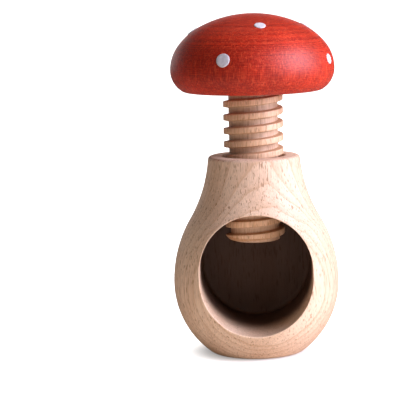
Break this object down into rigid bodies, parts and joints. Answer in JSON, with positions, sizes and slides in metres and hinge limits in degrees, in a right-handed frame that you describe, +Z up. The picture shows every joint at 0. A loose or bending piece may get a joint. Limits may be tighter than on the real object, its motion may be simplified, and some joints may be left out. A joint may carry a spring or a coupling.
{
  "type": "screw nutcracker",
  "caption": "Turned wooden screw nutcracker: pear-shaped body with a round nut chamber, threaded spindle and spotted mushroom cap as the handle.",
  "frame": {"origin": "centre of the round foot, on the floor", "axes": "+Z up along the spindle axis; the nut chamber opens towards -Y"},
  "size_m": [0.065, 0.0645, 0.1332],
  "materials": {
    "beech": "fine sanded, untreated",
    "screw_beech": "fine sanded, oiled",
    "red_stain": "red stain under satin varnish, grain showing",
    "white_paint": "satin paint dab"
  },
  "bodies": {
    "housing": {"body": "beech"},
    "riser": {"cap_dowel": "beech"},
    "rotor": {"spindle": "screw_beech", "cap": "red_stain", "spot_low_1": "white_paint", "spot_low_2": "white_paint", "spot_low_3": "white_paint", "spot_low_4": "white_paint", "spot_high_1": "white_paint", "spot_high_2": "white_paint", "spot_high_3": "white_paint", "spot_high_4": "white_paint"}
  },
  "joints": [
    {"name": "spindle_slide", "type": "slide", "parent": "housing", "child": "riser", "axis": [0, 0, 1], "range_m": [-0.0252, 0.0315]},
    {"name": "spindle_turn", "type": "hinge", "parent": "riser", "child": "rotor", "pos_m": [0, 0, 0], "axis": [0, 0, 1], "range_deg": [-1730, 2162]}
  ],
  "couplings": [
    {"joint": "spindle_turn", "follows": "spindle_slide", "rad_per_m": 1196.8}
  ]
}
